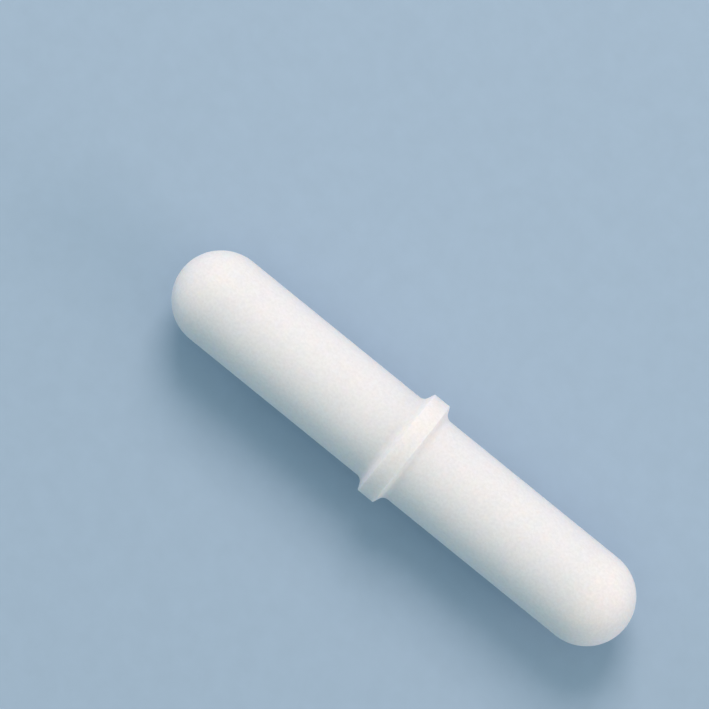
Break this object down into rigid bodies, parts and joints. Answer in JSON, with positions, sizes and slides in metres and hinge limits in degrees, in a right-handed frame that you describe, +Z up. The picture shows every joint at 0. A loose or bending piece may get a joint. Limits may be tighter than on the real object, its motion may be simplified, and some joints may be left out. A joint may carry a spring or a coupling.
{
  "type": "magnetic stir bar",
  "caption": "Magnetic stir bar: a rod magnet sealed inside a smooth white fluoropolymer jacket with two round ends and a raised pivot ring at mid-length.",
  "frame": {"origin": "on the bar's axis at mid-length, in the middle of the pivot ring, which is also the centre of the whole bar", "axes": "+X along the bar, +Y across it, +Z up with the bar lying level on its ring"},
  "size_m": [0.0456, 0.0098, 0.0098],
  "materials": {
    "white_ptfe": "moulded white fluoropolymer, waxy satin, slightly translucent",
    "cast_magnet_alloy": "cast aluminium-nickel-cobalt magnet alloy with ground sides"
  },
  "bodies": {
    "root": {"ptfe_jacket": "white_ptfe", "rod_magnet": "cast_magnet_alloy"}
  },
  "joints": []
}
